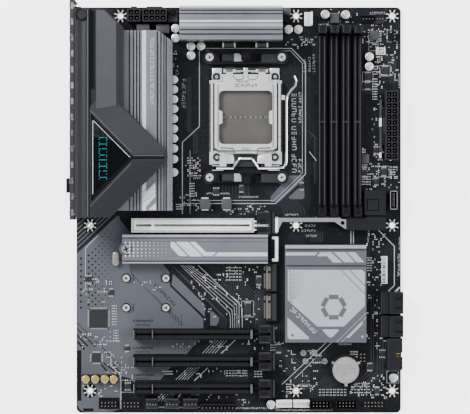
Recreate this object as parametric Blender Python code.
"""ATX computer motherboard, modelled as an assembly of separate pieces.

Lengths are written in millimetres and turned into Blender's metres by MM. Places are measured from the centre
of the board's underside: +X towards the drive ports, +Y towards the processor power inlets, +Z up through the
components. The empty "board_datum" then carries the whole assembly, so that the middle of its bounding box
stands at the world origin and its lowest point lies on Z = 0.
"""

import math

import bmesh
import bpy
from mathutils import Matrix, Vector

MM = 0.001
GAP = 0.3  # between pieces that touch
REACH = 1.0  # how far a cutter runs past the wall that it cuts

# Board
BOARD_W, BOARD_H, BOARD_T = 244.0, 305.0, 1.6
BOARD_CORNER_R = 3.5
RIGHT, TOP = BOARD_W / 2, BOARD_H / 2
LEFT, BOTTOM = -RIGHT, -TOP
SEAT = BOARD_T + GAP  # where components stand
HOLE_R = 1.98
COOLER_HOLE_R = 2.2
HOLE_COLUMNS = (LEFT + 10.16, LEFT + 165.1, LEFT + 237.49)
HOLE_ROWS = (BOTTOM + 16.51, BOTTOM + 140.97, BOTTOM + 298.45)
CORNER_HOLE_SHIFT = 22.86  # the hole nearest the rear ports stands this much further in

# Processor socket
SOCKET_X, SOCKET_Y = 5.2, 69.4
SOCKET_W, SOCKET_H = 54.4, 74.4
PACKAGE = 40.0
COOLER_DX, COOLER_DY = 54.0, 90.0  # the cooler's bolt pattern
HOUSING_W, HOUSING_H, HOUSING_TOP_Z, CONTACT_Z = 45.4, 50.0, BOARD_T + 5.4, BOARD_T + 3.2
FRAME_TOP_Z, FRAME_WALL_X, FRAME_WALL_T, FRAME_WALL_H = BOARD_T + 1.8, 25.296, 1.6, 52.0
PLATE_Z = BOARD_T + 6.2
PLATE_T = 1.2
PLATE_HINGE_Y = SOCKET_Y + 34.8
PLATE_HINGE_Z = BOARD_T + 5.6
HINGE_OFFSET = 12.2  # each hinge knuckle stands this far from the socket's middle
HINGE_PIN_R, KNUCKLE_BORE_R, KNUCKLE_R, KNUCKLE_W = 0.6, 0.85, 1.7, 5.0
LEVER_R = 0.95
LEVER_PIVOT_Y = SOCKET_Y - 37.9
LEVER_PIVOT_Z = BOARD_T + 3.4
LEVER_ARM_X = SOCKET_X + 30.6
BACKPLATE_T = 2.2
BACKPLATE_RIM, BACKPLATE_WINDOW, THREAD_R = 5.5, (26.0, 29.0), 1.9
BRACKET_TOP_Z, BRACKET_END_R, BRACKET_HOLE_R, BRACKET_HOOK_W = BOARD_T + 5.0, 5.1, 2.0, 6.6
BOLT_HEAD_R, BOLT_HEAD_H, BOLT_SHANK_R = 3.1, 2.4, 1.6
BOLT_SLOT_LENGTH, BOLT_SLOT_WIDTH = 3.8, 0.8

# Rear ports
SHIELD_T = 0.8
SHIELD_X = LEFT - 1.4
SHIELD_Y = (-7.0, 154.6)
SHIELD_Z = (-2.5, 42.0)
PORT_FACE_X = LEFT - 2.0
ANTENNA_FACE_X = LEFT - 5.5
USB_Y, VIDEO_Y, USB_FAST_Y, LAN_Y, ANTENNA_Y, AUDIO_Y = 132.0, 111.0, 84.0, 56.0, 18.2, 3.4
FLASH_BUTTON_Y, FLASH_BUTTON_Z, FLASH_BUTTON_R = 150.2, BOARD_T + 5.5, 2.2
USB_W, USB_TOP, USB_DEPTH, USB_LEVELS = 14.6, 16.2, 17.5, (4.4, 12.4)
LAN_W, LAN_TOP, LAN_DEPTH, LAN_USB_LEVELS = 16.4, 28.6, 21.5, (4.4, 11.6)
VIDEO_W, VIDEO_TOP, VIDEO_DEPTH, VIDEO_LEVELS = 17.6, 18.6, 17.0, (4.6, 14.2)
AUDIO_W, AUDIO_TOP, AUDIO_DEPTH, JACK_LEVELS, JACK_R = 12.4, 30.4, 15.0, (5.8, 15.4, 25.0), 1.85
ANTENNA_W, ANTENNA_Z, ANTENNA_MOUTH_R = 10.8, (BOARD_T + 14.5, BOARD_T + 24.5), 2.1
USB_MOUTH, VIDEO_MOUTH, LAN_MOUTH = (12.8, 5.4), (15.2, 4.8), (12.0, 9.0)
PORT_CLEARANCE = 0.4  # between a port and the shield's opening

# Covers and heatsinks
COVER_TOP_Z = 40.0
COVER_SKIRT_Z = 32.6
RAIL_X = (LEFT + 1.8, LEFT + 12.6)
COVER_Y = (-5.2, 147.4)
WINDOW_APEX_X, WINDOW_Y, WINDOW_HALF = -79.0, 38.4, 27.8
VRM_TOP_Z = 31.6
M2_SINK_Z = (BOARD_T + 6.2, BOARD_T + 11.2)
M2_SINK_X = (-87.0, 21.8)
M2_SINK_Y = (-40.0, -18.2)
M2_SCREW, M2_SCREW_R, M2_SEAT_R, M2_SEAT_DEPTH = (-84.0, -29.2), 3.7, 4.4, 3.4
CHIPSET_X, CHIPSET_Y = (34.6, 95.2), (-98.8, -26.0)
CHIPSET_Z = (BOARD_T + 2.6, BOARD_T + 12.0)

# Memory slots
DIMM_X, DIMM_PITCH, DIMM_COUNT = 62.2, 8.87, 4
DIMM_W = 6.4
DIMM_Y = (-5.0, 137.2)
DIMM_BODY_Z, DIMM_TOWER_Z, DIMM_LATCH_Z = BOARD_T + 9.4, BOARD_T + 14.5, BOARD_T + 20.5
DIMM_PIVOT_Y, DIMM_PIVOT_Z = 134.4, BOARD_T + 4.0
DIMM_KEY_Y = 66.0
DIMM_GROOVE_W, DIMM_GROOVE_FLOOR_Z, KEY_W = 1.5, BOARD_T + 2.6, 2.4
DIMM_YOKE_W, DIMM_LATCH_W, DIMM_CAP_Y = 4.4, 3.8, (131.3, 137.1)
AXLE_R, DIMM_BORE_R, CARD_BORE_R = 0.8, 1.0, 1.15

# Expansion slots
SLOT_PITCH = 20.32
SLOT_Y = HOLE_ROWS[1] + 0.1
SLOT_X = (-78.8, 10.2)
SLOT_W, SLOT_TOP_Z = 7.5, BOARD_T + 11.2
SLOT_KEY_X = SLOT_X[0] + 14.6
SLOT_GROOVE_W, SLOT_GROOVE_FLOOR_Z, SLOT_KEY_W = 1.9, BOARD_T + 3.0, 1.6
ARMOUR_W, ARMOUR_LEFT_WALL, ARMOUR_RIGHT_WALL, ARMOUR_RISE = 10.4, 1.3, 1.2, 0.5
LATCH_SPAN_X = {1: (13.6, 26.6), 2: (14.9, 27.0), 3: (14.9, 27.0), 4: (14.9, 27.0)}
LATCH_PIVOT_X, LATCH_PIVOT_Z = 20.2, BOARD_T + 5.6
LATCH_Z = (BOARD_T + 3.9, BOARD_T + 9.8)
ROD_Y = -7.3
ROD_Z = BOARD_T + 8.4
RELEASE_X, RELEASE_Y = (93.8, 109.6), (-3.6, 14.6)
RELEASE_ARM_X, RELEASE_ARM_Y = (80.4, 109.6), (-15.0, -5.6)
RELEASE_TOP_Z = BOARD_T + 12.5
BUTTON_X, BUTTON_Y, BUTTON_SIDE, BUTTON_RISE = 99.9, 3.9, 7.8, 0.8
ROD_W, ROD_T, ROD_HEAD_X = 3.0, 1.4, (27.4, 28.8)

# Power inlets
CELL_PITCH, CELL_SIDE, INLET_MARGIN, INLET_H = 4.2, 3.2, 0.6, 12.8
MAIN_INLET = (114.2, 63.2)
CPU_INLET_8, CPU_INLET_4 = (-62.8, 145.4), (-78.2, 145.4)

# Drive ports and front headers
DRIVE_FACE_X = RIGHT + 0.6
DRIVE_PORTS_Y = {"upper": (-77.3, -61.2), "lower": (-94.6, -78.9)}
FRONT_USB_Y = (-119.2, -95.8)
DRIVE_PORTS_TOP_Z, DRIVE_LEVELS = BOARD_T + 13.4, (BOARD_T + 3.9, BOARD_T + 10.1)
DRIVE_MOUTH, DRIVE_TONGUE = (13.4, 4.4), (10.4, 1.3)
FRONT_USB_TOP_Z = BOARD_T + 11.6
FRONT_USB_C, FRONT_USB_C_SIZE, FRONT_USB_C_TOP_Z = (115.8, 7.4), (5.6, 14.2), BOARD_T + 9.5

# Coin cell and M.2 connectors
CELL_X, CELL_Y, CELL_R, CELL_T = 80.3, -120.0, 10.0, 3.2
M2_CONNECTORS = {1: (25.9, -29.2), 2: (24.4, -50.6), 3: (24.4, -72.9)}
M2_CONNECTOR_W, M2_CONNECTOR_H, M2_CONNECTOR_TOP_Z = 8.4, 21.0, BOARD_T + 4.4
HOLDER_R, HOLDER_BORE_R, HOLDER_FLOOR_Z, HOLDER_WALL_H = 12.2, 10.5, BOARD_T + 1.4, 2.9

LOWEST_Z = SHIELD_Z[0]
MIDDLE_X = (ANTENNA_FACE_X + DRIVE_FACE_X) / 2
MIDDLE_Y = (BOTTOM + SHIELD_Y[1]) / 2

# Locating pegs: each connector stands on two, which pass through the board to the surface it lies on
PEG_R, PEG_HOLE_R = 0.8, 1.15
PEGS = {
    f"dimm_slot_{n + 1}": [(DIMM_X + n * DIMM_PITCH, y) for y in (2.0, 122.0)]
    for n in range(DIMM_COUNT)
}
for slot_number, slot_row in ((1, 0), (2, 4), (3, 5), (4, 6)):
    PEGS[f"pcie_slot_{slot_number}"] = [(x, SLOT_Y - slot_row * SLOT_PITCH) for x in (-77.4, 14.0)]
for port_name, (port_low, port_high) in DRIVE_PORTS_Y.items():
    PEGS[f"sata_ports_{port_name}"] = [(108.4, port_low + 2.4), (108.4, port_high - 2.4)]
PEGS["front_usb_socket"] = [(112.6, FRONT_USB_Y[0] + 1.6), (112.6, FRONT_USB_Y[1] - 1.6)]
PEGS["atx_power_inlet"] = [(MAIN_INLET[0], MAIN_INLET[1] - 24.9), (MAIN_INLET[0], MAIN_INLET[1] + 24.9)]

# Bare copper rings round the mounting holes, on the board's underside
PAD_R, PAD_T = 4.6, 0.1

AXIS_FRAMES = {
    "X": Matrix(((0, 0, 1, 0), (1, 0, 0, 0), (0, 1, 0, 0), (0, 0, 0, 1))),
    "Y": Matrix(((1, 0, 0, 0), (0, 0, -1, 0), (0, 1, 0, 0), (0, 0, 0, 1))),
    "Z": Matrix.Identity(4),
}


def start_scene():
    """Empties the file and makes the collections and the datum that everything hangs on."""
    for obj in list(bpy.data.objects):
        bpy.data.objects.remove(obj, do_unlink=True)
    for name in ("motherboard", "cutters"):
        bpy.context.scene.collection.children.link(bpy.data.collections.new(name))
    datum = bpy.data.objects.new("board_datum", None)
    datum.location = Vector((-MIDDLE_X, -MIDDLE_Y, -LOWEST_Z)) * MM
    bpy.data.collections["motherboard"].objects.link(datum)


def finish(name, colour, roughness, metallic=0.0):
    """A plain finish: one colour with its roughness and metallic value."""
    made = bpy.data.materials.new(name)
    made.use_nodes = True
    shader = made.node_tree.nodes["Principled BSDF"]
    shader.inputs["Base Color"].default_value = (*colour, 1.0)
    shader.inputs["Roughness"].default_value = roughness
    shader.inputs["Metallic"].default_value = metallic
    made.diffuse_color = (*colour, 1.0)
    return made


def place(name, mesh):
    """A mesh object in the datum's frame."""
    obj = bpy.data.objects.new(name, mesh)
    bpy.data.collections["motherboard"].objects.link(obj)
    obj.parent = bpy.data.objects["board_datum"]
    return obj


def give(obj, material, pivot=None):
    """Gives a piece its finish, and puts its origin at pivot, or at the middle of its own mesh."""
    obj.data.materials.clear()
    obj.data.materials.append(material)
    if pivot is None:
        low = Vector([min(v.co[k] for v in obj.data.vertices) for k in range(3)])
        high = Vector([max(v.co[k] for v in obj.data.vertices) for k in range(3)])
        origin = (low + high) / 2
    else:
        origin = Vector(pivot) * MM
    obj.data.transform(Matrix.Translation(-origin))
    obj.location = origin
    return obj


def boxes(name, spans):
    """One mesh of separate boxes, each given as its (low, high) along X, Y and Z."""
    bm = bmesh.new()
    for span in spans:
        middle = Vector([(low + high) / 2 for low, high in span]) * MM
        size = Vector([high - low for low, high in span]) * MM
        bmesh.ops.create_cube(bm, size=1, matrix=Matrix.Translation(middle) @ Matrix.Diagonal((*size, 1)))
    mesh = bpy.data.meshes.new(name)
    bm.to_mesh(mesh)
    bm.free()
    return place(name, mesh)


def box(name, x, y, z):
    return boxes(name, [(x, y, z)])


def cylinders(name, centres, radius, span, axis="Z", segments=20):
    """One mesh of separate cylinders along an axis, centred at (u, v) in the plane across it."""
    bm = bmesh.new()
    for u, v in centres:
        middle = Vector((u, v, (span[0] + span[1]) / 2 * (-1 if axis == "Y" else 1))) * MM
        bmesh.ops.create_cone(
            bm, cap_ends=True, segments=segments, radius1=radius * MM, radius2=radius * MM,
            depth=(span[1] - span[0]) * MM, matrix=AXIS_FRAMES[axis] @ Matrix.Translation(middle),
        )
    mesh = bpy.data.meshes.new(name)
    bm.to_mesh(mesh)
    bm.free()
    obj = place(name, mesh)
    mesh.shade_smooth()
    mesh.set_sharp_from_angle(angle=math.radians(40))
    return obj


def prism(name, outlines, span, axis="Z"):
    """A flat outline, with any further outlines as holes in it, extruded along an axis.

    The outlines are in (y, z) for X, (x, z) for Y and (x, y) for Z.
    """
    curve = bpy.data.curves.new(name, "CURVE")
    curve.dimensions = "2D"
    curve.fill_mode = "BOTH"
    curve.extrude = (span[1] - span[0]) / 2 * MM
    for outline in outlines:
        spline = curve.splines.new("POLY")
        spline.points.add(len(outline) - 1)
        for point, (u, v) in zip(spline.points, outline):
            point.co = (u * MM, v * MM, 0, 1)
        spline.use_cyclic_u = True
    flat = place(name, curve)
    middle = (span[0] + span[1]) / 2 * (-1 if axis == "Y" else 1)
    flat.matrix_basis = AXIS_FRAMES[axis] @ Matrix.Translation((0, 0, middle * MM))
    return as_mesh(flat)


def as_mesh(curve_object):
    """Turns a curve object into a welded mesh object at the same place."""
    graph = bpy.context.evaluated_depsgraph_get()
    mesh = bpy.data.meshes.new_from_object(curve_object.evaluated_get(graph))
    mesh.transform(curve_object.matrix_basis)
    bm = bmesh.new()
    bm.from_mesh(mesh)
    bmesh.ops.remove_doubles(bm, verts=bm.verts, dist=0.00001)
    bmesh.ops.recalc_face_normals(bm, faces=bm.faces)
    bm.to_mesh(mesh)
    bm.free()
    name = curve_object.name
    curve = curve_object.data
    bpy.data.objects.remove(curve_object)
    bpy.data.curves.remove(curve)
    return place(name, mesh)


def wire(name, points, radius):
    """A round wire through points, with closed ends."""
    curve = bpy.data.curves.new(name, "CURVE")
    curve.dimensions = "3D"
    curve.bevel_depth = radius * MM
    curve.bevel_resolution = 2
    curve.use_fill_caps = True
    spline = curve.splines.new("POLY")
    spline.points.add(len(points) - 1)
    for point, place_mm in zip(spline.points, points):
        point.co = (*(Vector(place_mm) * MM), 1)
    return as_mesh(place(name, curve))


def combine(obj, operation, tools):
    """Live Booleans: each tool stays in the cutters collection and isn't rendered."""
    for tool in tools:
        modifier = obj.modifiers.new(tool.name, "BOOLEAN")
        modifier.operation = operation
        modifier.object = tool
        tool.hide_render = True
        tool.display_type = "WIRE"
        bpy.data.collections["motherboard"].objects.unlink(tool)
        bpy.data.collections["cutters"].objects.link(tool)
    return obj


def cut(obj, *tools):
    return combine(obj, "DIFFERENCE", tools)


def fuse(obj, *tools):
    return combine(obj, "UNION", tools)


def rectangle(x, y):
    return [(x[0], y[0]), (x[1], y[0]), (x[1], y[1]), (x[0], y[1])]


def arc(centre, radius, start, end, steps):
    """Points on an arc between two angles in degrees."""
    angles = [math.radians(start + (end - start) * i / steps) for i in range(steps + 1)]
    return [(centre[0] + radius * math.cos(a), centre[1] + radius * math.sin(a)) for a in angles]


def pegs(name):
    """The pegs of one connector, as a piece to fuse to it."""
    return cylinders(name + "_pegs", PEGS[name], PEG_R, (LOWEST_Z, SEAT + 0.6), segments=10)


def circle(centre, radius, steps=20):
    return arc(centre, radius, 0, 360 - 360 / steps, steps - 1)


def rounded(x, y, radius, steps=4):
    """A rectangle's outline with round corners."""
    corners = ((x[1], y[1], 0), (x[0], y[1], 90), (x[0], y[0], 180), (x[1], y[0], 270))
    points = []
    for cx, cy, angle in corners:
        inward = (cx - radius if cx == x[1] else cx + radius, cy - radius if cy == y[1] else cy + radius)
        points += arc(inward, radius, angle, angle + 90, steps)
    return points


def around(middle, width):
    return (middle - width / 2, middle + width / 2)


def mounting_holes():
    """The nine board mounting holes."""
    found = []
    for y in HOLE_ROWS:
        for x in HOLE_COLUMNS:
            shift = CORNER_HOLE_SHIFT if (x, y) == (HOLE_COLUMNS[0], HOLE_ROWS[2]) else 0
            found.append((x + shift, y))
    return found


def cooler_bolts():
    return [
        (SOCKET_X + sx * COOLER_DX / 2, SOCKET_Y + sy * COOLER_DY / 2)
        for sy in (1, -1) for sx in (-1, 1)
    ]


def make_board(finishes):
    outline = rounded((LEFT, RIGHT), (BOTTOM, TOP), BOARD_CORNER_R)
    board = prism("pcb", [outline], (0, BOARD_T))
    through = (-REACH, BOARD_T + REACH)
    peg_places = [place_xy for places in PEGS.values() for place_xy in places]
    rings = cylinders("ground_rings", mounting_holes(), PAD_R, (-PAD_T, BOARD_T / 2), segments=24)
    holes = [
        cylinders("mounting_holes", mounting_holes(), HOLE_R, through),
        cylinders("cooler_holes", cooler_bolts(), COOLER_HOLE_R, through, segments=12),
        cylinders("peg_holes", peg_places, PEG_HOLE_R, through, segments=10),
    ]
    give(cut(fuse(board, rings), *holes), finishes["laminate"])


def make_backplate(finishes):
    """A steel plate under the board, which the cooler bolts thread into."""
    rim = BACKPLATE_RIM
    outline = rounded(around(SOCKET_X, COOLER_DX + 2 * rim), around(SOCKET_Y, COOLER_DY + 2 * rim), rim, 5)
    window = rounded(around(SOCKET_X, BACKPLATE_WINDOW[0]), around(SOCKET_Y, BACKPLATE_WINDOW[1]), 3, 3)
    threads = [circle(place_xy, THREAD_R, 12) for place_xy in cooler_bolts()]
    plate = prism("socket_backplate", [outline, window, *threads], (LOWEST_Z, LOWEST_Z + BACKPLATE_T))
    give(plate, finishes["dark_steel"])


def make_socket_housing(finishes):
    """The plastic contact housing: a floor of contacts inside a raised rim."""
    housing = box(
        "socket_housing", around(SOCKET_X, HOUSING_W), around(SOCKET_Y, HOUSING_H), (SEAT, HOUSING_TOP_Z)
    )
    pocket = box(
        "package_pocket", around(SOCKET_X, PACKAGE + 0.6), around(SOCKET_Y, PACKAGE + 0.6),
        (CONTACT_Z, HOUSING_TOP_Z + REACH),
    )
    give(cut(housing, pocket), finishes["socket_plastic"])


def make_socket_frame(finishes):
    """The steel frame round the housing, with the cover's hinge posts and the lever's clip."""
    half_w, half_h = SOCKET_W / 2, SOCKET_H / 2
    ear = 9.2
    step = 2.0
    outline = [
        (SOCKET_X + half_w, SOCKET_Y - half_h + step), (SOCKET_X + half_w, SOCKET_Y + half_h - ear),
        (SOCKET_X + half_w - step, SOCKET_Y + half_h - ear), (SOCKET_X + half_w - step, SOCKET_Y + half_h),
        (SOCKET_X - half_w + step, SOCKET_Y + half_h), (SOCKET_X - half_w + step, SOCKET_Y + half_h - ear),
        (SOCKET_X - half_w, SOCKET_Y + half_h - ear), (SOCKET_X - half_w, SOCKET_Y - half_h + step),
        (SOCKET_X - half_w + step, SOCKET_Y - half_h + step),
        (SOCKET_X - half_w + step, SOCKET_Y - half_h + 8),
        (SOCKET_X + half_w - step, SOCKET_Y - half_h + 8),
        (SOCKET_X + half_w - step, SOCKET_Y - half_h + step),
    ]
    window = rectangle(around(SOCKET_X, HOUSING_W + 2 * GAP), around(SOCKET_Y, HOUSING_H + 2 * GAP))
    frame = prism("socket_frame", [outline, window], (SEAT, FRAME_TOP_Z))
    side_walls = boxes("frame_side_walls", [
        (
            around(SOCKET_X + side * FRAME_WALL_X, FRAME_WALL_T),
            around(SOCKET_Y, FRAME_WALL_H),
            (SEAT + 0.1, BOARD_T + 6.0),
        )
        for side in (-1, 1)
    ])
    posts = boxes("hinge_posts", [
        (
            around(SOCKET_X + side * HINGE_OFFSET + shift, 1.4),
            around(PLATE_HINGE_Y, 2.6),
            (SEAT + 0.1, BOARD_T + 6.9),
        )
        for side in (-1, 1) for shift in (-3.8, 3.8)
    ])
    pins = cylinders(
        "hinge_pins", [(PLATE_HINGE_Y, PLATE_HINGE_Z)], HINGE_PIN_R, around(SOCKET_X, 2 * HINGE_OFFSET + 8.4),
        "X", 12,
    )
    lug = box(
        "lever_lug",
        (SOCKET_X + half_w - 0.4, LEVER_ARM_X - LEVER_R - 0.3),
        around(SOCKET_Y + 15, 3.4),
        (SEAT + 0.1, BOARD_T + 5.4),
    )
    foot = box(
        "tongue_rest",
        around(SOCKET_X, 11),
        (SOCKET_Y - half_h + 3.8, SOCKET_Y - half_h + 8.4),
        (SEAT + 0.1, BOARD_T + 2.0),
    )
    clips = boxes("lever_clips", [
        (
            around(SOCKET_X + side * 17, 5),
            (LEVER_PIVOT_Y + LEVER_R + GAP, SOCKET_Y - half_h + 8.6),
            (SEAT + 0.1, BOARD_T + 4.4),
        )
        for side in (-1, 1)
    ])
    give(fuse(frame, side_walls, posts, pins, lug, foot, clips), finishes["bright_steel"])


def make_load_plate(finishes):
    """The hinged cover that presses the processor down, with a window and two side tabs."""
    half_w, window, tab = 23.3, PACKAGE / 2, 2.5
    x, y = SOCKET_X, SOCKET_Y
    top, bottom = y + 32.2, y - 24.5
    scoop = 4.2
    outline = [
        (x + half_w, bottom + 2), (x + half_w, top - scoop), (x + half_w - scoop, top - scoop),
        (x + half_w - scoop, top),
        (x - half_w + scoop, top), (x - half_w + scoop, top - scoop), (x - half_w, top - scoop),
        (x - half_w, bottom + 2),
        (x - half_w + 3, bottom), (x - 9, bottom - 0.3), (x - 7, bottom - 2.2),
        (x + 7, bottom - 2.2), (x + 9, bottom - 0.3), (x + half_w - 3, bottom),
    ]
    corner = 3.4
    opening = arc((x + window - corner, y + window - corner), corner, 0, 90, 4)
    opening += arc((x - window + corner, y + window - corner), corner, 90, 180, 4)
    opening += [
        (x - window, y + 5.4), (x - window + tab, y + 4.4), (x - window + tab, y - 4.4),
        (x - window, y - 5.4),
    ]
    opening += arc((x - window + corner, y - window + corner), corner, 180, 270, 4)
    opening += arc((x + window - corner, y - window + corner), corner, 270, 360, 4)
    opening += [
        (x + window, y - 5.4), (x + window - tab, y - 4.4), (x + window - tab, y + 4.4),
        (x + window, y + 5.4),
    ]
    plate = prism("socket_load_plate", [outline, opening], (PLATE_Z, PLATE_Z + PLATE_T))
    arms = boxes("plate_arms", [
        (
            around(x + side * HINGE_OFFSET, KNUCKLE_W + 0.2),
            (top - 1.5, PLATE_HINGE_Y - 0.9),
            (PLATE_Z - 0.05, PLATE_Z + 0.9),
        ) for side in (-1, 1)
    ])
    knuckles = [
        cylinders(
            f"plate_knuckle_{side}",
            [(PLATE_HINGE_Y, PLATE_HINGE_Z)],
            KNUCKLE_R,
            around(x + side * HINGE_OFFSET, KNUCKLE_W),
            "X",
            16,
        )
        for side in (-1, 1)
    ]
    bores = cylinders(
        "knuckle_bores", [(PLATE_HINGE_Y, PLATE_HINGE_Z)], KNUCKLE_BORE_R, around(x, 34), "X", 12,
    )
    cut(fuse(plate, arms, *knuckles), bores)
    give(plate, finishes["bright_steel"], (x, PLATE_HINGE_Y, PLATE_HINGE_Z))


def make_lever(finishes):
    """The load lever: a finger end, the long arm, the pivot bar under the frame's edge and its crank."""
    x, y, z = LEVER_ARM_X, LEVER_PIVOT_Y, LEVER_PIVOT_Z
    crank_y, crank_z = y + 7.4, z + 1.3
    points = [
        (x + 5.6, y + 68.8, z + 4.2), (x + 7.2, y + 65.2, z + 3.6), (x + 6.6, y + 61.6, z + 3.0),
        (x + 2.4, y + 57, z + 1.8),
        (x + 0.4, y + 53.6, z + 1.2), (x, y + 50, z + 1.0), (x, y + 5.5, z + 0.2),
        (x - 0.5, y + 2.6, z), (x - 2.2, y + 0.6, z), (x - 4.6, y, z),
        (SOCKET_X + 9.4, y, z), (SOCKET_X + 8.4, y + 1.6, z + 0.3),
        (SOCKET_X + 5.0, crank_y - 0.8, crank_z),
        (SOCKET_X + 4.0, crank_y, crank_z), (SOCKET_X - 4.0, crank_y, crank_z),
        (SOCKET_X - 5.0, crank_y - 0.8, crank_z),
        (SOCKET_X - 8.4, y + 1.6, z + 0.3), (SOCKET_X - 9.4, y, z), (SOCKET_X - 22.0, y, z),
    ]
    give(wire("socket_lever", points, LEVER_R), finishes["chrome"], (SOCKET_X, y, z))


def make_cooler_brackets(finishes):
    """Two plastic bars with a hook in the middle, each held down by two bolts."""
    base_top = BRACKET_TOP_Z
    for name, side in (("upper", 1), ("lower", -1)):
        y = SOCKET_Y + side * COOLER_DY / 2
        ends = [SOCKET_X - COOLER_DX / 2, SOCKET_X + COOLER_DX / 2]
        waist = BRACKET_END_R if side > 0 else BRACKET_END_R - 1.2
        sweep = math.degrees(math.asin(waist / BRACKET_END_R))
        outline = arc((ends[1], y), BRACKET_END_R, -sweep, sweep, 8)
        outline += arc((ends[0], y), BRACKET_END_R, 180 - sweep, 180 + sweep, 8)
        holes = [circle((end, y), BRACKET_HOLE_R, 12) for end in ends]
        bar = prism(f"cooler_bracket_{name}", [outline, *holes], (SEAT, base_top))
        pockets = boxes(f"bracket_pockets_{name}", [
            (
                (SOCKET_X + low, SOCKET_X + high),
                around(y, 5.6),
                (base_top - 2.6, base_top + REACH),
            ) for low, high in ((-19.5, -5.4), (5.4, 19.5))
        ])
        hook = prism(f"bracket_hook_{name}", [[
            (y - side * 2.6, base_top - 1), (y + side * 2.2, base_top - 1),
            (y + side * 2.2, base_top + 4.0),
            (y + side * 5.0, base_top + 5.0), (y + side * 5.0, base_top + 6.4),
            (y - side * 0.6, base_top + 6.4), (y - side * 2.6, base_top + 3.0),
        ]], around(SOCKET_X, BRACKET_HOOK_W), "X")
        give(fuse(cut(bar, pockets), hook), finishes["black_plastic"])
    for number, (x, y) in enumerate(cooler_bolts(), 1):
        bolt = cylinders(
            f"cooler_bolt_{number}", [(x, y)], BOLT_HEAD_R, (base_top + GAP, base_top + BOLT_HEAD_H)
        )
        shank = cylinders(
            f"bolt_shank_{number}", [(x, y)], BOLT_SHANK_R, (LOWEST_Z + 0.4, base_top + 0.8), segments=12
        )
        cross = [
            box(
                f"bolt_slot_{number}_{turn}",
                around(x, length),
                around(y, width),
                (base_top + BOLT_HEAD_H / 2, base_top + BOLT_HEAD_H + REACH),
            )
            for turn, (length, width) in enumerate((
                (BOLT_SLOT_LENGTH, BOLT_SLOT_WIDTH), (BOLT_SLOT_WIDTH, BOLT_SLOT_LENGTH),
            ))
        ]
        give(cut(fuse(bolt, shank), *cross), finishes["chrome"])


def comb_profile(span, grooves, low, high, depth):
    """A bar's section from below, with grooves cut in its top, as (across, z) points."""
    points = [(span[0], low), (span[1], low), (span[1], high)]
    for start, end in sorted(grooves, reverse=True):
        points += [(end, high), (end, high - depth), (start, high - depth), (start, high)]
    return [*points, (span[0], high)]


def make_power_heatsinks(finishes):
    """Two finned bars over the power stages. The left one bridges the coils beside its foot."""
    side_grooves = [(x, x + 1.1) for x in (-80.9, -78.0, -75.6, -73.4, -60.4, -57.7, -55.5, -53.9)]
    left = prism("vrm_heatsink_left", [[
        (-97.0, BOARD_T + 2.2), (-86.0, BOARD_T + 2.2), (-86.0, BOARD_T + 12.5), (-51.2, BOARD_T + 12.5),
        (-49.0, BOARD_T + 15.5),
        (-49.0, VRM_TOP_Z - 3.4), (-52.4, VRM_TOP_Z),
        *comb_profile((-97.0, -52.4), side_grooves, 0, VRM_TOP_Z, 5.0)[3:],
    ]], (-0.4, 132.3), "Y")
    bevel = prism(
        "vrm_corner",
        [[(-59.6, 134), (-59.6, 132.3), (-47, 122.8), (-47, 134)]],
        (BOARD_T + 10, VRM_TOP_Z + 2),
    )
    side_slots = boxes(
        "vrm_side_slots",
        [((-52.6, -47), (y, y + 1.6), (BOARD_T + 13.5, BOARD_T + 24)) for y in range(6, 120, 6)],
    )
    bosses = boxes(
        "vrm_left_bosses", [((-95.5, -89.5), y, (SEAT, BOARD_T + 4)) for y in ((0.4, 6.4), (124.0, 130.0))]
    )
    give(cut(fuse(left, bosses), bevel, side_slots), finishes["silver"])
    grooves = [(146.7, 147.7), (144.3, 145.2), (132.5, 133.5), (129.0, 130.3)]
    high = BOARD_T + 27
    top = prism("vrm_heatsink_top", [[
        (140.0, BOARD_T + 2.2), (150.2, BOARD_T + 2.2), (150.9, high - 1.2), (150.0, high),
        *comb_profile((125.8, 150.0), grooves, 0, high, 3.2)[3:],
        (125.8, BOARD_T + 12.5), (140.0, BOARD_T + 12.5),
    ]], (-43.8, 32.4), "X")
    notch = boxes("vrm_top_slots", [
        (around(x, 1.6), (124, 128.4), (BOARD_T + 14, BOARD_T + 22)) for x in range(-40, 32, 5)
    ])
    bosses = boxes(
        "vrm_top_bosses",
        [(x, (142.0, 148.0), (SEAT, BOARD_T + 4)) for x in ((-42.0, -36.0), (24.6, 30.6))],
    )
    give(cut(fuse(top, bosses), notch), finishes["silver"])


def cover_outline():
    """The rear cover seen from above: a bar that widens into an arrow towards the socket."""
    bottom, top = COVER_Y
    return [
        (RAIL_X[1] + GAP, bottom), (-94.0, bottom), (-52.8, 36.0), (-52.2, 37.4), (-52.2, 41.6),
        (-52.8, 43.3),
        (-84.5, 75.6), (-84.5, 133.6), (-98.0, top), (RAIL_X[1] + GAP, top),
    ]


def inset(outline, distance):
    """A counter-clockwise outline moved inwards by a distance, corner by corner."""
    moved = []
    for i, here in enumerate(outline):
        before, after = Vector(outline[i - 1]), Vector(outline[(i + 1) % len(outline)])
        ahead, behind = (after - Vector(here)).normalized(), (Vector(here) - before).normalized()
        across = Vector((-ahead.y - behind.y, ahead.x + behind.x))
        across /= across.length_squared / 2
        moved.append(tuple(Vector(here) + across * distance))
    return moved


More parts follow.
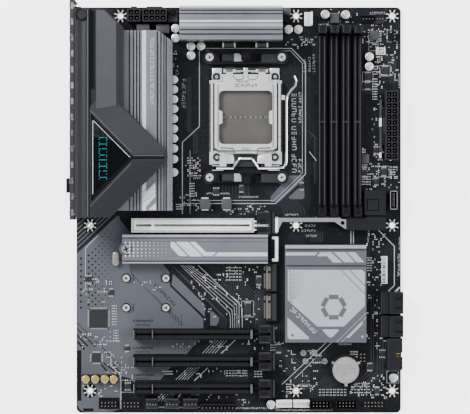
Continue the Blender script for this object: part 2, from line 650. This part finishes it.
def make_rear_cover(finishes):
    """The shell over the rear ports: cover, side rail and a triangular display window."""
    outline = cover_outline()
    cover = prism("io_cover", [outline], (COVER_SKIRT_Z, COVER_TOP_Z))
    hollow = prism("cover_hollow", [inset(outline, 2.0)], (COVER_SKIRT_Z - REACH, COVER_TOP_Z - 4.4))
    apex, edge = WINDOW_APEX_X + 2.4, RAIL_X[1] + GAP + 1.2
    recess = prism("window_recess", [[
        (edge, WINDOW_Y - WINDOW_HALF - 4.4), (apex, WINDOW_Y), (edge, WINDOW_Y + WINDOW_HALF + 4.4),
    ]], (COVER_TOP_Z - 3.0, COVER_TOP_Z + REACH))
    crease = prism("cover_crease", [[
        (WINDOW_Y - 1.1, COVER_TOP_Z + REACH), (WINDOW_Y - 1.1, COVER_TOP_Z), (WINDOW_Y, COVER_TOP_Z - 1.2),
        (WINDOW_Y + 1.1, COVER_TOP_Z), (WINDOW_Y + 1.1, COVER_TOP_Z + REACH),
    ]], (apex - 2, -54.6), "X")
    strip = box(
        "cover_strip",
        (RAIL_X[1], RAIL_X[1] + 4.8),
        (76, COVER_Y[1] + 1),
        (COVER_TOP_Z - 1.6, COVER_TOP_Z + REACH),
    )
    end_walls = boxes("cover_end_walls", [
        ((RAIL_X[1] + GAP, -98.6), y, (SEAT, COVER_TOP_Z - 4)) for y in (
            (COVER_Y[0], COVER_Y[0] + 2),
            (COVER_Y[1] - 2, COVER_Y[1]),
        )
    ])
    give(fuse(cut(cover, hollow, recess, crease, strip), end_walls), finishes["cover_plastic"])

    window_z = COVER_TOP_Z - 3.0 + GAP
    window = prism("io_display_window", [[
        (edge + 1.0, WINDOW_Y - WINDOW_HALF), (WINDOW_APEX_X, WINDOW_Y),
        (edge + 1.0, WINDOW_Y + WINDOW_HALF),
    ]], (window_z, window_z + 1.8))
    give(window, finishes["smoked_window"])

    left, right = RAIL_X
    trough = [(u, v) for u, v in arc((left + 5.0, 46.2), 7.2, 230, 310, 8)]
    profile = [(left, 33.2), (right, 33.2), (right, 40.6), *reversed(trough), (left, 40.6)]
    rail = prism("io_cover_rail", [profile], (COVER_Y[0] - 0.4, COVER_Y[1] + 0.2), "Y")
    rail_ends = boxes("rail_ends", [
        ((left, right), y, (SEAT, 34.0)) for y in (
            (COVER_Y[0] - 0.4, COVER_Y[0] + 1.6),
            (COVER_Y[1] - 1.8, COVER_Y[1] + 0.2),
        )
    ])
    rivet = cylinders("rail_rivet", [(-114.6, 142.8)], 3.3, (38.0, 40.9))
    give(fuse(rail, rail_ends, rivet), finishes["cover_plastic"])


def usb_cavities(y, levels):
    """Cavities and tongues of stacked USB sockets, whose centres are at the given heights."""
    width, height = USB_MOUTH
    cavities = [((PORT_FACE_X - REACH, PORT_FACE_X + 11), around(y, width), around(z, height)) for z in levels]
    tongues = [
        ((PORT_FACE_X + 1.2, PORT_FACE_X + 11.6), around(y, width - 2), (z + 0.2, z + 2.0))
        for z in levels
    ]
    return cavities, tongues


def make_rear_ports(finishes):
    """The sockets behind the shield, each open towards -X."""
    def socket(name, y, width, top, depth, cavities, tongues=()):
        body = box(name, (PORT_FACE_X, PORT_FACE_X + depth), around(y, width), (SEAT, BOARD_T + top))
        cut(body, boxes(name + "_cavities", cavities))
        if tongues:
            fuse(body, boxes(name + "_tongues", tongues))
        return body

    for name, y in (("usb_ports_rear", USB_Y), ("usb_ports_fast", USB_FAST_Y)):
        cavities, tongues = usb_cavities(y, [BOARD_T + level for level in USB_LEVELS])
        give(socket(name, y, USB_W, USB_TOP, USB_DEPTH, cavities, tongues), finishes["nickel"])
    cavities, tongues = usb_cavities(LAN_Y, [BOARD_T + level for level in LAN_USB_LEVELS])
    network_z = around(BOARD_T + 21.5, LAN_MOUTH[1])
    cavities.append(((PORT_FACE_X - REACH, PORT_FACE_X + 13), around(LAN_Y, LAN_MOUTH[0]), network_z))
    lan = socket("lan_usb_ports", LAN_Y, LAN_W, LAN_TOP, LAN_DEPTH, cavities, tongues)
    give(lan, finishes["nickel"])
    levels = [BOARD_T + level for level in VIDEO_LEVELS]
    cavities = [
        ((PORT_FACE_X - REACH, PORT_FACE_X + 9), around(VIDEO_Y, VIDEO_MOUTH[0]), around(z, VIDEO_MOUTH[1]))
        for z in levels
    ]
    tongues = [
        ((PORT_FACE_X + 1, PORT_FACE_X + 9.6), around(VIDEO_Y, VIDEO_MOUTH[0] - 3.2), around(z, 1.5))
        for z in levels
    ]
    video = socket("video_ports", VIDEO_Y, VIDEO_W, VIDEO_TOP, VIDEO_DEPTH, cavities, tongues)
    give(video, finishes["nickel"])

    jacks = [(AUDIO_Y, BOARD_T + z) for z in JACK_LEVELS]
    audio = box(
        "audio_jacks", (PORT_FACE_X, PORT_FACE_X + AUDIO_DEPTH), around(AUDIO_Y, AUDIO_W),
        (SEAT, BOARD_T + AUDIO_TOP),
    )
    bores = cylinders("jack_bores", jacks, JACK_R, (PORT_FACE_X - REACH, PORT_FACE_X + 12), "X", 16)
    give(cut(audio, bores), finishes["black_plastic"])

    antenna = box(
        "antenna_socket", (ANTENNA_FACE_X, PORT_FACE_X + 9), around(ANTENNA_Y, ANTENNA_W), ANTENNA_Z
    )
    stem = box(
        "antenna_stem", (PORT_FACE_X + 2.4, PORT_FACE_X + 14), around(ANTENNA_Y, 15), (SEAT, BOARD_T + 26)
    )
    mouths = cylinders(
        "antenna_mouths",
        [(ANTENNA_Y + side * 2.7, sum(ANTENNA_Z) / 2) for side in (-1, 1)],
        ANTENNA_MOUTH_R,
        (ANTENNA_FACE_X - REACH, ANTENNA_FACE_X + 5),
        "X",
        16,
    )
    give(cut(fuse(antenna, stem), mouths), finishes["black_plastic"])

    button = cylinders(
        "flash_button",
        [(FLASH_BUTTON_Y, FLASH_BUTTON_Z)],
        FLASH_BUTTON_R,
        (SHIELD_X - 1.2, LEFT + 4.0),
        "X",
        20,
    )
    give(button, finishes["black_plastic"], (SHIELD_X - 1.2, FLASH_BUTTON_Y, FLASH_BUTTON_Z))


def make_shield(finishes):
    """The sheet panel round the rear ports, with a rim folded inwards along its top."""
    clear = PORT_CLEARANCE
    ports = (
        (USB_Y, USB_W, SEAT, BOARD_T + USB_TOP), (USB_FAST_Y, USB_W, SEAT, BOARD_T + USB_TOP),
        (LAN_Y, LAN_W, SEAT, BOARD_T + LAN_TOP), (VIDEO_Y, VIDEO_W, SEAT, BOARD_T + VIDEO_TOP),
        (AUDIO_Y, AUDIO_W, SEAT, BOARD_T + AUDIO_TOP), (ANTENNA_Y, ANTENNA_W, *ANTENNA_Z),
    )
    openings = [(around(y, width + 2 * clear), (low - clear, high + clear)) for y, width, low, high in ports]
    holes = [rectangle(y, z) for y, z in openings]
    holes.append(circle((FLASH_BUTTON_Y, FLASH_BUTTON_Z), FLASH_BUTTON_R + clear, 20))
    vents = [rectangle(around(y, 2.0), (24.0, 36.0)) for y in range(64, 144, 5) if abs(y - LAN_Y) > 11]
    panel = prism(
        "io_shield", [rectangle(SHIELD_Y, SHIELD_Z), *holes, *vents], (SHIELD_X, SHIELD_X + SHIELD_T), "X"
    )
    rims = boxes("shield_rims", [
        ((SHIELD_X + 0.1, SHIELD_X + 3.0), SHIELD_Y, (SHIELD_Z[1] - SHIELD_T, SHIELD_Z[1] - 0.01)),
        (
            (SHIELD_X + 0.1, SHIELD_X + 3.0),
            (SHIELD_Y[1] - SHIELD_T, SHIELD_Y[1] - 0.01),
            (6, SHIELD_Z[1] - SHIELD_T - 0.01),
        ),
        (
            (SHIELD_X + 0.1, SHIELD_X + 3.0),
            (SHIELD_Y[0] + 0.01, SHIELD_Y[0] + SHIELD_T),
            (6, SHIELD_Z[1] - SHIELD_T - 0.01),
        ),
    ])
    give(fuse(panel, rims), finishes["shield_metal"])


def make_memory_slots(finishes):
    """Four memory slots, each with a fixed tower at one end and a latch that swings out at the other."""
    for number in range(1, DIMM_COUNT + 1):
        x = DIMM_X + (number - 1) * DIMM_PITCH
        low, high = DIMM_Y
        slot = prism(f"dimm_slot_{number}", [[
            (low, SEAT), (high, SEAT), (high, BOARD_T + 8.0), (high - 6.8, BOARD_T + 10.6),
            (high - 6.8, DIMM_BODY_Z),
            (low + 8.4, DIMM_BODY_Z), (low + 7.4, DIMM_TOWER_Z), (low, DIMM_TOWER_Z),
        ]], around(x, DIMM_W), "X")
        groove_y = (low + 3.0, DIMM_KEY_Y - KEY_W / 2), (DIMM_KEY_Y + KEY_W / 2, high - 7.6)
        groove = boxes(
            f"dimm_groove_{number}",
            [(around(x, DIMM_GROOVE_W), y, (DIMM_GROOVE_FLOOR_Z, DIMM_TOWER_Z + REACH)) for y in groove_y],
        )
        yoke = box(
            f"dimm_yoke_{number}",
            around(x, DIMM_YOKE_W),
            (high - 6.9, high + REACH),
            (BOARD_T + 1.2, DIMM_TOWER_Z + REACH),
        )
        axle = cylinders(
            f"dimm_axle_{number}", [(DIMM_PIVOT_Y, DIMM_PIVOT_Z)], AXLE_R, around(x, 5.4), "X", 12
        )
        give(fuse(cut(slot, groove, yoke), axle, pegs(f"dimm_slot_{number}")), finishes["black_plastic"])

        latch = prism(f"dimm_latch_{number}", [[
            (131.6, BOARD_T + 2.4), (136.2, BOARD_T + 2.4), (136.2, BOARD_T + 11.0),
            (137.0, BOARD_T + 12.0),
            (137.0, DIMM_LATCH_Z), (131.2, DIMM_LATCH_Z), (131.2, BOARD_T + 18.4), (133.2, BOARD_T + 16.4),
            (133.2, BOARD_T + 10.0), (131.6, BOARD_T + 8.4),
        ]], around(x, DIMM_LATCH_W), "X")
        cap = box(
            f"latch_cap_{number}",
            around(x, DIMM_W - 0.2),
            DIMM_CAP_Y,
            (BOARD_T + 13.4, DIMM_LATCH_Z - 0.1),
        )
        nose = box(f"latch_nose_{number}", around(x, 1.7), (130, 132.8), (BOARD_T + 2, BOARD_T + 17.6))
        bore = cylinders(
            f"latch_bore_{number}", [(DIMM_PIVOT_Y, DIMM_PIVOT_Z)], DIMM_BORE_R, around(x, 6), "X", 12
        )
        cut(fuse(latch, cap), nose, bore)
        give(latch, finishes["latch_plastic"], (x, DIMM_PIVOT_Y, DIMM_PIVOT_Z))


def make_expansion_slots(finishes):
    """Four long card slots, each with a card latch on an axle. The first wears a metal sleeve."""
    for number, row in ((1, 0), (2, 4), (3, 5), (4, 6)):
        y = SLOT_Y - row * SLOT_PITCH
        left, right = SLOT_X
        slot = box(f"pcie_slot_{number}", SLOT_X, around(y, SLOT_W), (SEAT, SLOT_TOP_Z))
        groove = boxes(f"card_groove_{number}", [
            (span, around(y, SLOT_GROOVE_W), (SLOT_GROOVE_FLOOR_Z, SLOT_TOP_Z + REACH)) for span in (
                (left + 2.2, SLOT_KEY_X - SLOT_KEY_W / 2),
                (SLOT_KEY_X + SLOT_KEY_W / 2, right - 2.0),
            )
        ])
        tail = box(
            f"slot_tail_{number}",
            (right - 0.5, LATCH_PIVOT_X + 4.6),
            around(y, 6.6),
            (SEAT, BOARD_T + 2.0),
        )
        rib = prism(f"latch_rib_{number}", [[
            (right - 1.0, BOARD_T + 1.6), (LATCH_PIVOT_X + 0.2, BOARD_T + 1.6),
            (LATCH_PIVOT_X + 1.9, BOARD_T + 5.0),
            (LATCH_PIVOT_X + 1.9, BOARD_T + 7.4), (right - 1.0, BOARD_T + 7.4),
        ]], around(y, 1.6), "Y")
        hole = cylinders(
            f"rib_hole_{number}", [(LATCH_PIVOT_X, LATCH_PIVOT_Z)], CARD_BORE_R, around(y, 4), "Y", 12
        )
        cut(fuse(cut(slot, groove), tail, rib, pegs(f"pcie_slot_{number}")), hole)
        give(slot, finishes["slot_ivory" if number == 1 else "black_plastic"])

        low, high = LATCH_Z
        x0, x1 = LATCH_SPAN_X[number]
        wings = (y - 6.5, y + 10.4) if number == 1 else around(y, 14.0)
        across = (wings[0] - REACH, wings[1] + REACH)
        latch = box(f"pcie_latch_{number}", (x0, x1), wings, (low, high))
        thumb_groove = box(
            f"thumb_groove_{number}", (x1 - 2.4, x1 - 1.6), across, (high - 1.2, high + REACH)
        )
        mouth = box(
            f"latch_mouth_{number}", (x0 - REACH, x1 - 3.4), around(y, 2.2), (low - REACH, high + REACH)
        )
        under = prism(f"latch_under_{number}", [[
            (LATCH_PIVOT_X + 0.6, low - REACH), (x1 + 1, low - REACH), (x1 + 1, low + 2.4),
        ]], across, "Y")
        axle = cylinders(
            f"latch_axle_{number}", [(LATCH_PIVOT_X, LATCH_PIVOT_Z)], AXLE_R, around(y, 4.0), "Y", 12
        )
        fuse(cut(latch, thumb_groove, mouth, under), axle)
        give(latch, finishes["latch_plastic"], (LATCH_PIVOT_X, y, LATCH_PIVOT_Z))

    left, right = SLOT_X
    sleeve = box(
        "pcie_slot_1_armour",
        (left - ARMOUR_LEFT_WALL, right + ARMOUR_RIGHT_WALL),
        around(SLOT_Y, ARMOUR_W),
        (SEAT, SLOT_TOP_Z + ARMOUR_RISE),
    )
    core = box(
        "armour_core",
        (left - GAP, right + GAP),
        around(SLOT_Y, SLOT_W + 2 * GAP),
        (SEAT - REACH, SLOT_TOP_Z + REACH),
    )
    rear_gate = box("armour_gate", (right, right + 3), around(SLOT_Y, 7.4), (SEAT - REACH, BOARD_T + 8.0))
    give(cut(sleeve, core, rear_gate), finishes["bright_steel"])


def make_quick_release(finishes):
    """The remote card release: a button, its housing and the pull rod to the first slot's latch."""
    y = ROD_Y
    housing = box("release_housing", RELEASE_X, RELEASE_Y, (SEAT, RELEASE_TOP_Z))
    arm = box("release_arm", RELEASE_ARM_X, RELEASE_ARM_Y, (BOARD_T + 3.4, RELEASE_TOP_Z - 0.6))
    bridge = box(
        "release_bridge",
        (RELEASE_X[0] + 1, RELEASE_X[1] - 1),
        (RELEASE_ARM_Y[1] - 1, RELEASE_Y[0] + 1),
        (BOARD_T + 3.6, RELEASE_TOP_Z - 2.4),
    )
    tunnel = box(
        "rod_tunnel",
        (RELEASE_ARM_X[0] - REACH, RELEASE_ARM_X[0] + 9.2),
        around(sum(RELEASE_ARM_Y) / 2, 8.2),
        (ROD_Z - 2.6, ROD_Z + 2.6),
    )
    well = box(
        "button_well",
        around(BUTTON_X, BUTTON_SIDE + 0.8),
        around(BUTTON_Y, BUTTON_SIDE + 0.8),
        (BOARD_T + 4, RELEASE_TOP_Z + REACH),
    )
    give(cut(fuse(housing, arm, bridge), tunnel, well), finishes["latch_plastic"])

    button = box(
        "release_button",
        around(BUTTON_X, BUTTON_SIDE),
        around(BUTTON_Y, BUTTON_SIDE),
        (BOARD_T + 7.4, RELEASE_TOP_Z + BUTTON_RISE),
    )
    give(button, finishes["latch_plastic"], (BUTTON_X, BUTTON_Y, RELEASE_TOP_Z + BUTTON_RISE))

    head_left, head_right = ROD_HEAD_X
    low, high = y - ROD_W / 2, y + ROD_W / 2
    outline = [
        (head_left, -17.4), (head_right, -17.4), (29.6, -14.6), (32.6, low), (71.6, low), (79.4, -14.0),
        (83.2, -14.0), (83.2, -6.8), (77.0, -6.8), (75.6, high), (30.6, high), (head_right, y + 2.4),
        (head_left, y + 2.4),
    ]
    eye = circle((77.6, -9.6), 1.5, 12)
    rod = prism("release_rod", [outline, eye], around(ROD_Z, ROD_T))
    fin = box("rod_fin", (32.8, 71), (y - 0.2, y + 1.3), (ROD_Z - 0.2, ROD_Z + 1.4))
    give(fuse(rod, fin), finishes["chrome"], (head_left, y, ROD_Z))


def make_m2_storage(finishes):
    """The storage card heatsink, its captive screw and the three card connectors."""
    low, high = M2_SINK_Z
    grooves = [(-38.6, -37.6), (-34.9, -23.3), (-21.3, -20.4)]
    profile = [(M2_SINK_Y[0], low), (M2_SINK_Y[1], low), (M2_SINK_Y[1], high)]
    for start, end in sorted(grooves, reverse=True):
        depth = 0.7 if end - start > 5 else 2.0
        profile += [(end, high), (end, high - depth), (start, high - depth), (start, high)]
    profile.append((M2_SINK_Y[0], high))
    sink = prism("m2_heatsink", [profile], M2_SINK_X, "X")
    seat = cylinders("screw_seat", [M2_SCREW], M2_SEAT_R, (high - M2_SEAT_DEPTH, high + REACH))
    bore = cylinders("screw_bore", [M2_SCREW], 2.0, (SEAT - REACH, high), segments=12)
    foot_top = low + 0.5
    left_foot = box(
        "m2_left_foot",
        (M2_SINK_X[0] + 0.4, M2_SINK_X[0] + 6.4),
        around(M2_SCREW[1], 6.0),
        (SEAT, foot_top),
    )
    right_feet = boxes(
        "m2_right_feet", [((14.0, 17.0), y, (SEAT, foot_top)) for y in ((-39.8, -38.0), (-20.2, -18.4))]
    )
    give(cut(fuse(sink, left_foot, right_feet), seat, bore), finishes["silver"])

    x, y = M2_SCREW
    screw = cylinders(
        "m2_captive_screw", [M2_SCREW], M2_SCREW_R, (high - M2_SEAT_DEPTH + GAP, low + 4.2)
    )
    shank = cylinders("captive_shank", [M2_SCREW], 1.5, (SEAT, low + 2.6), segments=12)
    cross = [
        box(f"captive_slot_{turn}", around(x, length), around(y, width), (low + 3.0, high + REACH))
        for turn, (length, width) in enumerate(((4.6, 0.9), (0.9, 4.6)))
    ]
    give(cut(fuse(screw, shank), *cross), finishes["chrome"], (x, y, low + 4.2))

    for number, (x, y) in M2_CONNECTORS.items():
        left = x - M2_CONNECTOR_W / 2 - REACH
        body = box(
            f"m2_connector_{number}",
            around(x, M2_CONNECTOR_W),
            around(y, M2_CONNECTOR_H),
            (SEAT, M2_CONNECTOR_TOP_Z),
        )
        slot = box(
            f"m2_slot_{number}",
            (left, x + 1.4),
            around(y, 19.4),
            (BOARD_T + 1.5, BOARD_T + 2.9),
        )
        lip = box(
            f"m2_lip_{number}",
            (left, x - 2.6),
            around(y, 18.0),
            (BOARD_T + 2.8, M2_CONNECTOR_TOP_Z + REACH),
        )
        give(cut(body, slot, lip), finishes["slot_ivory" if number == 1 else "grey_plastic"])


def make_chipset_heatsink(finishes):
    low, high = CHIPSET_Z
    y0, y1 = CHIPSET_Y
    profile = [
        (y0, low), (y1, low), (y1, high), (-28.7, high), (-28.7, high - 2.4), (-30.2, high - 2.4),
        (-30.2, high - 0.4),
        (-41.0, high - 0.4), (-41.0, high - 2.8), (-42.2, high - 2.8), (-42.2, high - 1.0),
        (-44.0, high - 0.6), (y0, high - 0.6),
    ]
    sink = prism("chipset_heatsink", [profile], CHIPSET_X, "X")
    chip_contact = box(
        "chip_contact", around(sum(CHIPSET_X) / 2, 24), around((y0 + y1) / 2, 24), (SEAT, low + 0.5)
    )
    give(fuse(sink, chip_contact), finishes["silver"])


def power_inlet(name, centre, columns, rows, clip_side, finishes):
    """A square-celled power header. clip_side is the side with the ramp that the plug's clip hooks on."""
    x, y = centre
    width, height = columns * CELL_PITCH + 2 * INLET_MARGIN, rows * CELL_PITCH + 2 * INLET_MARGIN
    top = BOARD_T + INLET_H
    body = box(name, around(x, width), around(y, height), (SEAT, top))
    cells = boxes(name + "_cells", [
        (
            around(x + (i - (columns - 1) / 2) * CELL_PITCH, CELL_SIDE),
            around(y + (j - (rows - 1) / 2) * CELL_PITCH, CELL_SIDE),
            (BOARD_T + 3.4, top + REACH),
        )
        for i in range(columns) for j in range(rows)
    ])
    length = 4.6 if max(columns, rows) == 2 else 12.0
    if clip_side == "left":
        edge = x - width / 2
        section = [(edge - 1.6, top - 3.4), (edge + 0.4, top - 7), (edge + 0.4, top - 1), (edge - 1.6, top - 1)]
        ramp = prism(name + "_ramp", [section], around(y, length), "Y")
    else:
        edge = y + height / 2
        section = [(edge - 0.4, top - 7), (edge + 1.6, top - 3.4), (edge + 1.6, top - 1), (edge - 0.4, top - 1)]
        ramp = prism(name + "_ramp", [section], around(x, length), "X")
    fuse(cut(body, cells), ramp)
    if name in PEGS:
        fuse(body, pegs(name))
    give(body, finishes["black_plastic"])


def make_power_inlets(finishes):
    power_inlet("atx_power_inlet", MAIN_INLET, 2, 12, "left", finishes)
    power_inlet("cpu_power_inlet_8", CPU_INLET_8, 4, 2, "top", finishes)
    power_inlet("cpu_power_inlet_4", CPU_INLET_4, 2, 2, "top", finishes)


def make_edge_ports(finishes):
    """The drive ports and the front panel sockets, which open towards +X at the board's edge."""
    top = DRIVE_PORTS_TOP_Z
    for name, (low, high) in DRIVE_PORTS_Y.items():
        y = (low + high) / 2
        body = prism(f"sata_ports_{name}", [[
            (106.0, SEAT), (DRIVE_FACE_X, SEAT), (DRIVE_FACE_X, top), (112.6, top), (112.6, top - 2.2),
            (106.0, top - 2.2),
        ]], (low, high), "Y")
        deep, shallow = (DRIVE_FACE_X - 6.4, DRIVE_FACE_X + REACH), (DRIVE_FACE_X - 7, DRIVE_FACE_X - 0.8)
        cavities = boxes(
            f"sata_cavities_{name}",
            [(deep, around(y, DRIVE_MOUTH[0]), around(z, DRIVE_MOUTH[1])) for z in DRIVE_LEVELS],
        )
        tongues = boxes(
            f"sata_tongues_{name}",
            [(shallow, around(y, DRIVE_TONGUE[0]), around(z, DRIVE_TONGUE[1])) for z in DRIVE_LEVELS],
        )
        windows = boxes(
            f"sata_windows_{name}",
            [
                (
                    (DRIVE_FACE_X - 6.0, DRIVE_FACE_X - 1.0),
                    around(y + side * 3.6, 1.9),
                    (top - 0.8, top + REACH),
                )
                for side in (-1, 1)
            ],
        )
        cut(fuse(cut(body, cavities), tongues, pegs(f"sata_ports_{name}")), windows)
        give(body, finishes["grey_plastic"])

    y = sum(FRONT_USB_Y) / 2
    body = box("front_usb_socket", (111.0, RIGHT + 0.1), FRONT_USB_Y, (SEAT, FRONT_USB_TOP_Z))
    cavity = box("front_usb_cavity", (114.2, RIGHT + 2), around(y, 20.8), (BOARD_T + 2.4, BOARD_T + 9.6))
    tongue = box("front_usb_tongue", (113.6, RIGHT - 1), around(y, 18.2), (BOARD_T + 5.2, BOARD_T + 6.8))
    notch = box(
        "front_usb_notch",
        (117.4, RIGHT + 2),
        around(y - 0.4, 3.4),
        (BOARD_T + 9.0, FRONT_USB_TOP_Z + REACH),
    )
    give(cut(fuse(cut(body, cavity), tongue, pegs("front_usb_socket")), notch), finishes["grey_plastic"])

    x, y = FRONT_USB_C
    width, length = FRONT_USB_C_SIZE
    body = box("front_usb_c_socket", around(x, width), around(y, length), (SEAT, FRONT_USB_C_TOP_Z))
    cavity = box(
        "front_usb_c_cavity",
        around(x, width - 1.2),
        around(y, length - 1.6),
        (BOARD_T + 3, FRONT_USB_C_TOP_Z + REACH),
    )
    tongue = box("front_usb_c_tongue", around(x, 1.2), around(y, 10.4), (BOARD_T + 2.6, BOARD_T + 8.6))
    give(fuse(cut(body, cavity), tongue), finishes["nickel"])


def make_coin_cell(finishes):
    centre = (CELL_X, CELL_Y)
    floor = HOLDER_FLOOR_Z
    outer, inner = circle(centre, HOLDER_R, 32), circle(centre, HOLDER_BORE_R, 32)
    base = prism("cell_holder", [outer], (SEAT, floor))
    wall = prism("holder_wall", [outer, inner], (floor - 0.5, floor + HOLDER_WALL_H))
    finger_gap = boxes(
        "holder_gaps",
        [
            (around(CELL_X, 7), (CELL_Y - 14, CELL_Y - 8), (floor + 0.3, floor + 5)),
            ((CELL_X + 8, CELL_X + 14), around(CELL_Y, 5), (floor + 0.3, floor + 5)),
        ],
    )
    give(cut(fuse(base, wall), finger_gap), finishes["black_plastic"])
    cell = cylinders("coin_cell", [centre], CELL_R, (floor + GAP, floor + GAP + CELL_T), segments=40)
    give(cell, finishes["bright_steel"])


def main():
    start_scene()
    finishes = {
        "laminate": finish("laminate", (0.012, 0.013, 0.015), 0.45),
        "black_plastic": finish("black_plastic", (0.015, 0.015, 0.017), 0.5),
        "latch_plastic": finish("latch_plastic", (0.045, 0.045, 0.05), 0.55),
        "cover_plastic": finish("cover_plastic", (0.06, 0.062, 0.07), 0.5),
        "grey_plastic": finish("grey_plastic", (0.09, 0.09, 0.10), 0.55),
        "socket_plastic": finish("socket_plastic", (0.16, 0.15, 0.14), 0.6),
        "slot_ivory": finish("slot_ivory", (0.62, 0.62, 0.60), 0.5),
        "smoked_window": finish("smoked_window", (0.004, 0.005, 0.006), 0.08),
        "silver": finish("silver", (0.45, 0.46, 0.50), 0.42, 0.9),
        "bright_steel": finish("bright_steel", (0.75, 0.75, 0.76), 0.28, 1.0),
        "dark_steel": finish("dark_steel", (0.05, 0.05, 0.055), 0.45, 0.6),
        "chrome": finish("chrome", (0.80, 0.80, 0.82), 0.15, 1.0),
        "nickel": finish("nickel", (0.66, 0.66, 0.67), 0.3, 1.0),
        "shield_metal": finish("shield_metal", (0.20, 0.20, 0.21), 0.4, 0.8),
    }
    make_board(finishes)
    make_backplate(finishes)
    make_socket_housing(finishes)
    make_socket_frame(finishes)
    make_load_plate(finishes)
    make_lever(finishes)
    make_cooler_brackets(finishes)
    make_power_heatsinks(finishes)
    make_rear_cover(finishes)
    make_rear_ports(finishes)
    make_shield(finishes)
    make_memory_slots(finishes)
    make_expansion_slots(finishes)
    make_quick_release(finishes)
    make_m2_storage(finishes)
    make_chipset_heatsink(finishes)
    make_power_inlets(finishes)
    make_edge_ports(finishes)
    make_coin_cell(finishes)


main()
